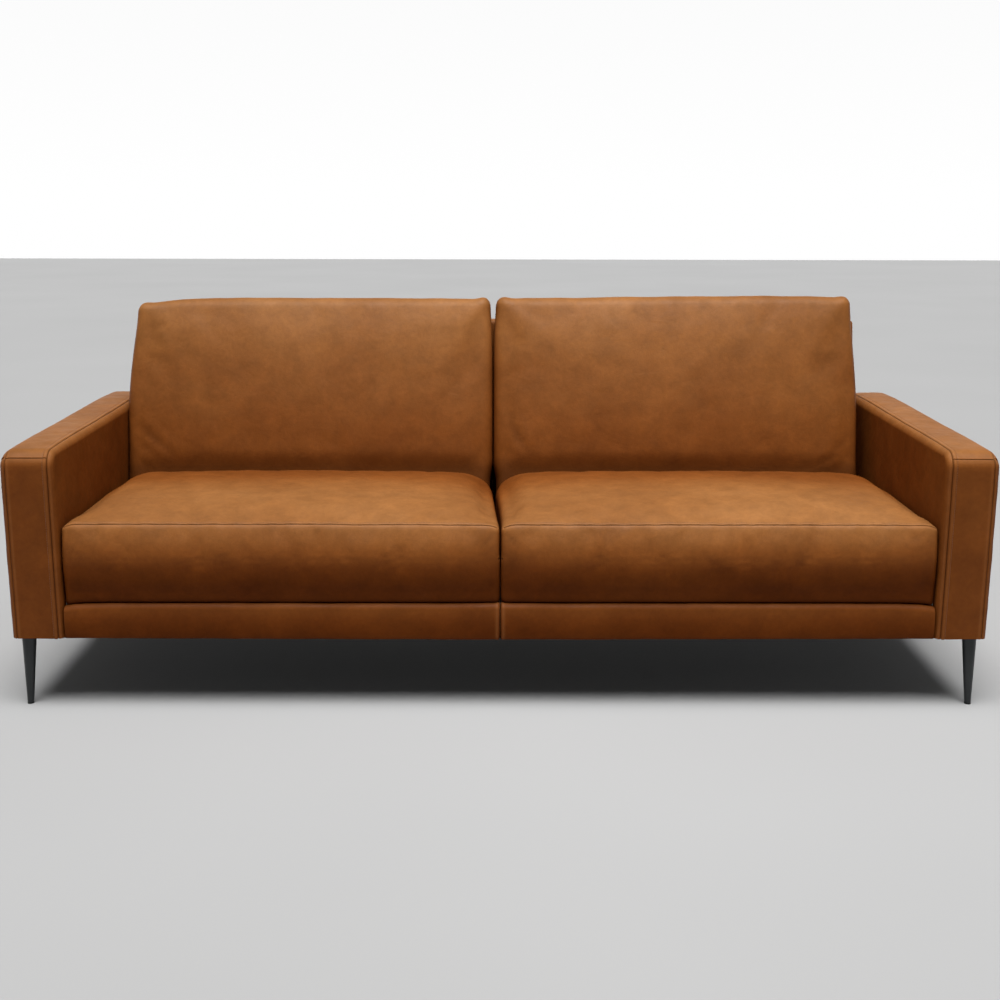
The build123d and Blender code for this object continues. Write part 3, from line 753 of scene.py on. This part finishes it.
def seat_cushion(side):
    sign = SIDES[side]
    low, high = cushion_box("seat", side)
    high[2] -= SEAT_CROWN
    skew = -14 * MM * sign

    def shape(box):
        return shape_seat(box, low, high, skew) * np.array([sign, 1, 1])

    def seam_lines(box):
        """The seam along the front top edge, and the ones that run low along the sides."""
        x, y, z = box.T
        to_front_edge = np.hypot(y - low[1], z - high[2])
        on_side = (x < low[0] + TOUCH) | (x > high[0] - TOUCH)
        to_sides = np.where(on_side, np.abs(z - SEAT_SIDE_SEAM), FAR)
        return [(to_front_edge, 2.3 * MM, 1.6 * MM), (to_sides, 1.6 * MM, 1.8 * MM)]

    def pin(box):
        _, y, z = box.T
        edge = np.hypot(y - low[1], z - high[2]) < 3 * MM
        return ((z < low[2] + 20 * MM) | (y > high[1] - 12 * MM) | edge).astype(float)

    def mask(box):
        """How freely the skin moves: held at the foot, the rear and where it lies along its neighbours."""
        x, y, z = box.T
        from_sides = np.minimum(x - low[0], high[0] - x)
        foot = smooth_step(z, low[2] + 0.01, low[2] + 0.05)
        rear = fading(y, high[1] - 0.06, high[1] - 0.01)
        return foot * rear * smooth_step(from_sides, 0.001, 0.030)

    def painted_light_by_place(box):
        """Painted light and shade by place: darker at the rear and low down in front."""
        _, y, z = box.T
        low_front = (y < low[1] + 0.03) * fading(z, low[2], low[2] + 0.17)
        rear = smooth_step(y, low[1] + 0.04, high[1] - 0.08)
        return (1 - 0.70 * rear) * (1 - 0.80 * low_front)

    def shade(box):
        """Painted shade in the crease over the border."""
        return 0.4 * np.exp(-(box[:, 2] - low[2]) / 0.010) * (box[:, 1] < low[1] + 0.03)

    face = low[1]
    if side == "right":
        folds = [
            ((0.012, face, 0.405), (0.060, face - 0.004, 0.372), 7 * MM, 2.2 * MM),
            ((0.014, face, 0.385), (0.050, face - 0.004, 0.345), 6 * MM, 1.6 * MM),
            ((0.955, face, 0.412), (0.905, face - 0.004, 0.375), 8 * MM, 1.6 * MM),
            ((0.975, face, 0.268), (0.860, face - 0.002, 0.276), 6 * MM, 1.6 * MM),
        ]
    else:
        folds = [
            ((-0.016, face, 0.408), (-0.055, face - 0.004, 0.372), 7 * MM, 1.8 * MM),
            ((-0.970, face, 0.408), (-0.910, face - 0.004, 0.365), 8 * MM, 2.0 * MM),
            ((-0.975, face, 0.272), (-0.880, face - 0.002, 0.278), 6 * MM, 1.8 * MM),
            ((-0.985, -0.30, 0.440), (-0.930, -0.34, 0.452), 9 * MM, 1.6 * MM),
        ]
    box, skin, normals = finish_cushion(
        "seat", side, (low, high), ([], [], [SEAT_SIDE_SEAM]), shape,
        {"seam_lines": seam_lines, "pin": pin, "mask": mask, "painted_light_by_place": painted_light_by_place, "shade": shade},
        folds, SEAT_LEATHER, 17 + 6 * sign,
    )
    on_row = (np.abs(box[:, 2] - high[2]) < TOUCH) & (np.abs(box[:, 1] - (low[1] + 7 * MM)) < TOUCH)
    on_row &= np.abs(box[:, 0] - (low[0] + high[0]) / 2) < (high[0] - low[0]) / 2 - 20 * MM
    line = np.where(on_row)[0]
    line = line[np.argsort(box[line, 0])]
    stitch_row(f"seat_cushion_{side}_stitches", skin[line], normals[line], f"seat_cushion_{side}")


def back_cushion(side):
    sign = SIDES[side]
    foot, top = cushion_box("back", side)
    low = np.array((foot[0], 0.0, 0.0))
    high = np.array((top[0], BACK_THICKNESS, (top[2] - foot[2]) / math.cos(LEAN) + BACK_CROWN))
    # how far the outer top corner drops, the outer side pulls in, and the top edge rises outwards
    settled = (20 * MM, 21 * MM, 0) if side == "left" else (8 * MM, 14 * MM, 11 * MM)

    def shape(box):
        return shape_back(box, low, high, foot, *settled) * np.array([sign, 1, 1])

    def seam_lines(box):
        return [(np.abs(box[:, 1] - GUSSET_SEAM), 1.8 * MM, 1.8 * MM)]

    def pin(box):
        _, y, z = box.T
        return ((z < 30 * MM) | (y > high[1] - 12 * MM)).astype(float)

    def mask(box):
        x, y, z = box.T
        from_sides = np.minimum(x - low[0], high[0] - x)
        foot = smooth_step(z, 0.19, 0.25)
        rear = fading(y, high[1] - 0.07, high[1] - 0.01)
        return foot * rear * (0.15 + 0.85 * smooth_step(from_sides, 0.0, 0.05))

    def painted_light_by_place(box):
        """Painted light and shade by place: darker towards the seat, lighter at the top."""
        z = box[:, 2]
        return 1 - 0.36 * fading(z, 0.20, 0.45) + 0.20 * smooth_step(z, 0.44, 0.62)

    def shade(box):
        """Painted shade where the cushion meets the seat."""
        return 0.45 * np.exp(-np.maximum(box[:, 2] - 0.20, 0) / 0.02) * (box[:, 1] < 0.02)

    def on_face(x, height):
        return (x, foot[1] + height * math.sin(LEAN) - 0.012, foot[2] + height * math.cos(LEAN))

    if side == "left":
        folds = [
            (on_face(-0.965, 0.320), on_face(-0.850, 0.225), 12 * MM, 2.2 * MM),
            (on_face(-0.970, 0.275), on_face(-0.880, 0.218), 10 * MM, 1.8 * MM),
            (on_face(-0.940, 0.560), on_face(-0.890, 0.600), 10 * MM, 1.2 * MM),
        ]
    else:
        folds = [
            (on_face(0.000, 0.400), on_face(0.060, 0.280), 11 * MM, 1.7 * MM),
            (on_face(0.015, 0.330), on_face(0.090, 0.230), 11 * MM, 1.6 * MM),
            (on_face(0.935, 0.290), on_face(0.860, 0.225), 11 * MM, 1.6 * MM),
            (on_face(0.925, 0.245), on_face(0.840, 0.216), 9 * MM, 1.3 * MM),
        ]
    finish_cushion(
        "back", side, (low, high), ([], [GUSSET_SEAM], []), shape,
        {"seam_lines": seam_lines, "pin": pin, "mask": mask, "painted_light_by_place": painted_light_by_place, "shade": shade},
        folds, BACK_LEATHER, 45 + 8 * sign,
    )


# ============================== leather sheets of the frame
LEATHER = 1.6 * MM


def leather_panel(name, points, quads, material, attributes, replaced):
    """One sewn sheet on the frame, from the points that its quads use, thickened inwards."""
    used = sorted({i for quad in quads for i in quad})
    renumber = {old: new for new, old in enumerate(used)}
    local = [[renumber[i] for i in quad] for quad in quads]
    own = {key: values[used] for key, values in attributes.items()}
    obj = make_object(f"{name}_leather", points[used], local, material, "frame", own)
    solid = obj.modifiers.new("thickness", "SOLIDIFY")
    solid.thickness = LEATHER
    solid.offset = -1
    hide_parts(*replaced)


def panels_of(box, quads, name_of):
    """Quads by panel; name_of names the panel at the middle of a quad of the box, or None for no panel."""
    panels = {}
    for quad in quads:
        name = name_of(*box[quad].mean(axis=0))
        if name:
            panels.setdefault(name, []).append(quad)
    return panels


# ============================== arms
ARM_INNER_EDGE = 14 * MM
ARM_OUTER_EDGE = 15 * MM
ARM_SHOULDER = 25 * MM  # radius of the long outer top edge
ARM_CORNER = 36 * MM
BAND = 10 * MM  # from a felled seam to the row of stitches beside it


def shape_arm(box):
    """Right arm, from box coordinates to its rounded, gently padded form; the bottom stays open."""
    x, y, z = box.T.copy()
    width_centre = (ARM_INNER + ARM_OUTER) / 2
    side_depth = np.minimum(x - ARM_INNER, ARM_OUTER - x)
    ring_depth = np.minimum(np.minimum(y - FRONT, REAR - y), ARM_TOP - z)
    edge = np.where(x < width_centre, ARM_INNER_EDGE, ARM_OUTER_EDGE)
    a, b = edge - side_depth, edge - ring_depth
    corner = (a > 0) & (b > 0)
    scale = np.where(corner, np.maximum(a, b) / np.maximum(np.hypot(a, b), TINY), 1.0)
    side_new = np.where(corner, edge - a * scale, side_depth)
    inset = np.where(corner, (edge - b * scale) - ring_depth, 0.0)
    x = np.where(x < width_centre, ARM_INNER + side_new, ARM_OUTER - side_new)
    # the ring through the front, top and rear moves towards the middle by the inset
    ring_new = ring_depth + inset
    y = np.clip(y, FRONT + ring_new, REAR - ring_new)
    z = np.minimum(z, ARM_TOP - ring_new)
    points = np.stack([x, y, z], axis=1)
    shoulder_centre = (ARM_OUTER - ARM_SHOULDER, ARM_TOP - ARM_SHOULDER)
    edge_share = ARM_OUTER_EDGE / ARM_SHOULDER
    points = round_corner(points, (0, 2), shoulder_centre, (1, 1), (ARM_SHOULDER, ARM_SHOULDER), edge_share)
    from_outer, from_inner = ARM_OUTER - points[:, 0], points[:, 0] - ARM_INNER
    inner_fall = fall(from_inner, ARM_INNER_EDGE)
    reach_y = np.maximum(ARM_CORNER - fall(from_outer, ARM_OUTER_EDGE) - inner_fall, 2 * MM)
    reach_z = np.maximum(ARM_CORNER - fall(from_outer, ARM_SHOULDER) - inner_fall, 2 * MM)
    for centre_y, way in ((FRONT + ARM_CORNER, -1), (REAR - ARM_CORNER, 1)):
        centre = (centre_y, ARM_TOP - ARM_CORNER)
        points = round_corner(points, (1, 2), centre, (way, 1), (reach_y, reach_z))
    # padding: the broad faces swell a little between their seams
    x, y, z = points.T.copy()
    tall = dome(z, FRAME_BASE - 0.02, ARM_TOP, 2.2)
    deep = dome(y, FRONT, REAR, 4)
    outer = smooth_step(x, ARM_OUTER - 0.010, ARM_OUTER)
    inner = fading(x, ARM_INNER, ARM_INNER + 0.010)
    points[:, 0] += outer * 5 * MM * tall * deep - inner * 1.5 * MM * tall * deep
    wide = dome(x, ARM_INNER, ARM_OUTER, 2.2)
    swell = 7 * MM * deep + 5 * MM * smooth_step(y, FRONT + 0.35, REAR - 0.15)
    points[:, 2] += swell * dome(x, ARM_INNER, ARM_OUTER, 3.5) * smooth_step(z, ARM_TOP - 0.02, ARM_TOP)
    front = fading(y, FRONT, FRONT + 0.012)
    rear = smooth_step(y, REAR - 0.012, REAR)
    points[:, 1] += (rear - front) * 3.5 * MM * wide * tall
    return points


def arm_panel_of(x, y, z):
    """Name of the panel at a place on the arm's box, or None for the open bottom."""
    if z < FRAME_BASE + TOUCH:
        return None
    if x > SEAM_OUTER:
        return "outer_panel"
    if x < SEAM_INNER:
        return "inner_panel"
    if z > SEAM_TOP:
        return "top_panel"
    return "front_panel" if y < 0 else "rear_panel"


def arm(side):
    """The five leather panels of one arm, with the stitches along its felled seams."""
    sign = SIDES[side]
    box, quads = box_surface([
        grid_line(ARM_INNER, ARM_OUTER, 8 * MM, seams=[SEAM_INNER, SEAM_OUTER, SEAM_INNER + BAND]),
        grid_line(FRONT, REAR, 10 * MM),
        grid_line(FRAME_BASE, ARM_TOP, 10 * MM, seams=[SEAM_TOP]),
    ])
    base = shape_arm(box)
    normals = normals_of(base, quads)
    x, y, z = box.T
    on_band = (np.abs(y - FRONT) < TOUCH) | (np.abs(y - REAR) < TOUCH) | (np.abs(z - ARM_TOP) < TOUCH)
    to_inner = np.where(on_band, np.abs(x - SEAM_INNER), FAR)
    to_outer = np.where(on_band, np.abs(x - SEAM_OUTER), FAR)
    to_stitch = np.where(on_band, np.abs(x - SEAM_INNER - BAND), FAR)
    upright = (np.abs(y - FRONT) < TOUCH) | (np.abs(y - REAR) < TOUCH)
    between = (x > SEAM_INNER) & (x < SEAM_OUTER)
    to_top = np.where(upright & between, np.abs(z - SEAM_TOP), FAR)
    shift = groove(to_inner, 1.5 * MM, 1.4 * MM) + groove(to_outer, 0.9 * MM, 1.3 * MM)
    shift += groove(to_top, 1.4 * MM, 1.3 * MM) + groove(to_stitch, 0.6 * MM, 1.2 * MM, 0.1)
    band = np.where(on_band & (x > SEAM_INNER + 2 * MM) & (x < SEAM_INNER + BAND - MM), 0.7 * MM, 0)
    wave = 1.0 * MM * ripple(base, 0.12, 71) + 0.5 * MM * ripple(base, 0.04, 72)
    base = base + normals * (shift + band + wave)[:, None]
    nearest = np.minimum(np.minimum(to_inner, to_outer), to_top)
    # Painted shade in the seams and the stitch groove, painted highlights on the rolls beside the seams, and
    # painted light that is lighter where the surface faces up.
    painted_crease_shade = 0.5 * bell(nearest, 1.4 * MM) + 0.2 * bell(to_stitch, 1.2 * MM)
    painted_highlight = 0.15 * bell(nearest - 6 * MM, 3 * MM)
    painted_light = 0.37 + 0.52 * normals[:, 2]
    attributes = {"painted_crease_shade": painted_crease_shade, "painted_highlight": painted_highlight, "painted_light": painted_light}
    points, quads = mirrored(base, quads, sign)
    for panel, panel_quads in panels_of(box, quads, arm_panel_of).items():
        replaced = [f"arm_{side}_{panel}"] + ([f"arm_{side}_padding"] if panel == "top_panel" else [])
        leather_panel(f"arm_{side}_{panel}", points, panel_quads, ARM_LEATHER, attributes, replaced)

    line = np.where(on_band & (np.abs(x - SEAM_INNER - BAND) < TOUCH) & (y < REAR - MM))[0]
    # up the front first, and then back along the top
    order = np.where(z[line] < ARM_TOP - TOUCH, z[line] - ARM_TOP, y[line] - FRONT)
    line = line[np.argsort(order)]
    stitch_row(f"arm_{side}_stitches", points[line], normals[line] * np.array([sign, 1, 1]), "frame")


# ============================== front border
def border(side):
    """One leather panel of the padded border, from under the frame, up its face and over onto the deck."""
    sign = SIDES[side]
    low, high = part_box(f"border_{side}_panel")
    inner_x, outer_x = sorted((abs(low.x), abs(high.x)))
    foot, top = low.z, DECK_TOP
    foot_radius, top_radius, flap = 7 * MM, 13 * MM, 12 * MM
    face_low, face_high = foot + foot_radius, top - top_radius
    profile = []
    for angle in np.linspace(0, math.pi / 2, 9):
        back, down = foot_radius * (1 - math.sin(angle)), foot_radius * math.cos(angle)
        profile.append((BORDER_FACE + back, face_low - down))
    profile += [(BORDER_FACE, height) for height in np.linspace(face_low, face_high, 15)[1:-1]]
    for angle in np.linspace(0, math.pi / 2, 13):
        back, up = top_radius * (1 - math.cos(angle)), top_radius * math.sin(angle)
        profile.append((BORDER_FACE + back, face_high + up))
    profile += [(BORDER_FACE + top_radius + reach, top) for reach in np.linspace(0, flap, 5)[1:]]
    profile = np.array(profile)
    columns = np.array(grid_line(inner_x, outer_x, 10 * MM))
    count = len(profile)
    x = np.repeat(columns, count)
    y, z = np.tile(profile, (len(columns), 1)).T
    points = np.stack([x, y, z], axis=1)
    quads = [
        [c * count + r, (c + 1) * count + r, (c + 1) * count + r + 1, c * count + r + 1]
        for c in range(len(columns) - 1)
        for r in range(count - 1)
    ]
    normals = normals_of(points, quads)
    tall = dome(z, foot - 0.01, top + 0.006, 2.0)
    to_seam = x - inner_x
    shift = 4.5 * MM * tall * (1 - 0.35 * np.exp(-to_seam / 0.03))
    shift += groove(to_seam, 2.2 * MM, 1.8 * MM)
    shift += 0.8 * MM * ripple(points, 0.09, 91 + sign) + 0.5 * MM * ripple(points, 0.03, 95 + sign)
    points = points + normals * shift[:, None]
    # the middle of the border hangs a little lower than its ends
    points[:, 2] -= 3 * MM * (1 - x / outer_x) * fading(z, foot, foot + 0.03)
    end_sag = CORNER_SAG * np.exp(-(outer_x - x) / CORNER_SAG_REACH)
    points[:, 2] -= end_sag * smooth_step(z, foot + 0.03, top)
    points, quads = mirrored(points, quads, sign)
    # Painted shade in the middle seam, on the flap that runs back under the cushions and along the top edge;
    # a painted highlight beside the seam; and painted light that is darker towards the bottom.
    painted_crease_shade = 0.6 * bell(to_seam, 1.6 * MM)
    painted_crease_shade = np.maximum(painted_crease_shade, 0.5 * smooth_step(y, BORDER_FACE + 5 * MM, BORDER_FACE + 16 * MM))
    painted_crease_shade = np.maximum(painted_crease_shade, 0.35 * np.exp(-(top - z) / (7 * MM)))
    painted_highlight = 0.2 * bell(to_seam - 7 * MM, 3 * MM)
    painted_light = 0.08 + 0.28 * smooth_step(points[:, 2], foot, top)
    replaced = [f"border_{side}_panel"] + (["border_padding"] if side == "left" else [])
    attributes = {"painted_crease_shade": painted_crease_shade, "painted_highlight": painted_highlight, "painted_light": painted_light}
    leather_panel(f"border_{side}", points, quads, FRAME_LEATHER, attributes, replaced)


# ============================== back frame
def back_frame():
    """The wedge behind the back cushions: inside, outside, top and side panels of leather."""
    _, inside_front, inside_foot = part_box("inside_back_panel")[0]
    half, _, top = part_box("back_top_panel")[1]
    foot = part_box("outside_back_panel")[0].z
    thickness = 0.10  # of the box that is bent into the wedge
    box, quads = box_surface([
        grid_line(-half, half, 12 * MM, seams=[0.0]),
        grid_line(0.0, thickness, 10 * MM),
        grid_line(foot, top, 12 * MM),
    ])
    points = round_edges(box, (-half, 0.0, foot - 0.02), (half, thickness, top), 9 * MM)
    points[:, 2] = np.maximum(points[:, 2], foot)
    x, through, z = points.T.copy()
    slope = math.tan(LEAN)
    inside_y = inside_front + (np.maximum(z, inside_foot) - inside_foot) * slope
    rim = 12 * MM  # the rows this close to the inside and outside faces keep their true spacing
    rear_flap = 60 * MM  # under the deck, the side panels only cover the part behind this
    near_out = thickness - through
    between = (through - rim) / (thickness - 2 * rim)
    middle_y = inside_y + rim + (REAR - inside_y - 2 * rim) * between
    front_y = np.where(through < rim, inside_y + through, middle_y)
    points[:, 1] = np.where(near_out < rim, REAR - near_out, front_y)
    normals = normals_of(points, quads)
    outside = near_out < 1 * MM
    flat = dome(np.abs(x), -half, half, 6) * dome(z, foot, top, 4)
    half_flat = dome(np.abs(x), 0.0, half, 4)
    shift = np.where(outside, 4 * MM * flat * half_flat, 0)
    middle = np.where(outside, np.abs(x), FAR)
    near_rim = (through > 1 * MM) & (near_out > 1 * MM)
    from_rim = np.hypot(np.minimum(half - np.abs(x), top - z), near_out)
    to_rim = np.where(near_rim | outside, from_rim, FAR)
    shift += groove(middle, 2.0 * MM, 2.0 * MM) + groove(to_rim, 1.4 * MM, 1.8 * MM)
    shift += 0.9 * MM * ripple(points, 0.14, 131) * np.where(outside, 1, 0.4)
    points = points + normals * shift[:, None]
    nearest = np.minimum(middle, to_rim)
    # Painted shade in the seams and a painted highlight on the rolls beside them.
    painted_crease_shade = 0.75 * bell(nearest, 2.0 * MM)
    painted_highlight = 0.2 * bell(nearest - 6 * MM, 3 * MM)

    def panel_of(_, through, z):
        """Name of the panel at a place on the box, or None for its open bottom and front foot."""
        if z < foot + TOUCH or (z < inside_foot and through < rear_flap):
            return None
        if z > top - TOUCH:
            return "back_top_panel"
        if through > thickness - TOUCH:
            return "outside_back_panel"
        return "inside_back_panel" if through < TOUCH else "back_side_panels"

    # Painted light: lighter where the surface faces up.
    attributes = {"painted_crease_shade": painted_crease_shade, "painted_highlight": painted_highlight, "painted_light": 0.4 + 0.4 * normals[:, 2]}
    for panel, panel_quads in panels_of(box, quads, panel_of).items():
        replaced = [panel] + (["inside_back_padding"] if panel == "inside_back_panel" else [])
        leather_panel(panel, points, panel_quads, FRAME_LEATHER, attributes, replaced)


# ============================== build
dress_nodes()
for side_name in SIDES:
    arm(side_name)
    border(side_name)
    seat_cushion(side_name)
    back_cushion(side_name)
back_frame()


# ============================== stage, light and camera
def floor():
    bpy.ops.mesh.primitive_plane_add(size=40)
    plane = bpy.context.object
    plane.name = "floor"
    material, tree, shader = new_material("floor")
    tone = noise_texture(tree, object_coordinates(tree), 0.6, 2, 0.5)
    tree.links.new(ramp(tree, tone, [(0.3, 0.42), (0.7, 0.44)]), shader.inputs["Base Color"])
    shader.inputs["Roughness"].default_value = 0.9
    plane.data.materials.append(material)


def add_light(name, kind, power, place, rotation):
    """A lamp in the scene; returns its light, for what is particular to its kind."""
    light = bpy.data.lights.new(name, kind)
    light.energy = power
    lamp = bpy.data.objects.new(name, light)
    lamp.location = place
    lamp.rotation_euler = rotation
    scene.collection.objects.link(lamp)
    return light


CEILING_LAMP = Vector((0.35, -0.7, 2.4))
LIT_PLACE = Vector((0.1, -0.45, 0.0))
SKYLIGHT_TILT = math.radians(14)

floor()
to_lit_place = (LIT_PLACE - CEILING_LAMP).to_track_quat("-Z", "Y").to_euler()
ceiling = add_light("ceiling", "AREA", power=15, place=CEILING_LAMP, rotation=to_lit_place)
ceiling.shape = "RECTANGLE"
ceiling.size, ceiling.size_y = 1.4, 0.8
skylight = add_light("skylight", "SUN", power=3.7, place=(0, 0, 0), rotation=(SKYLIGHT_TILT, 0, 0))
skylight.angle = math.radians(38)


def studio_world():
    """A dim room, paler near the floor, with one white wall behind the sofa that ends low."""
    world = bpy.data.worlds.new("studio")
    world.use_nodes = True
    tree = world.node_tree
    coordinates = tree.nodes.new("ShaderNodeTexCoord")
    split = tree.nodes.new("ShaderNodeSeparateXYZ")
    tree.links.new(coordinates.outputs["Generated"], split.inputs[0])
    height = ramp(tree, split.outputs["Z"], [(0.0, 1.0), (0.20, 0.95), (0.40, 0.10), (1.0, 0.08)])
    behind = ramp(tree, split.outputs["Y"], [(0.10, 0.0), (0.60, 1.0)])
    room = ramp(tree, split.outputs["Z"], [(0.0, 0.50), (0.05, 0.45), (0.12, 0.085), (1.0, 0.085)])
    colour = mix_colour(tree, behind, room, height)
    tree.links.new(colour, tree.nodes["Background"].inputs["Color"])
    scene.world = world


studio_world()
scene.view_settings.view_transform = "Standard"

CAMERA_HEIGHT = 1.1725
CAMERA_DISTANCE = 3.028  # from the front of the arms
CAMERA_OFFSET = -0.016
CAMERA_PITCH = 0.2214
CAMERA_YAW = 0.0044
CAMERA_ROLL = -0.0023
camera_data = bpy.data.cameras.new("camera")
camera_data.lens = 50.0
camera_data.sensor_width = 36.0
camera = bpy.data.objects.new("camera", camera_data)
camera.location = (CAMERA_OFFSET, FRONT - CAMERA_DISTANCE, CAMERA_HEIGHT)
camera.rotation_euler = (math.pi / 2 - CAMERA_PITCH, CAMERA_ROLL, -CAMERA_YAW)
scene.collection.objects.link(camera)
scene.camera = camera
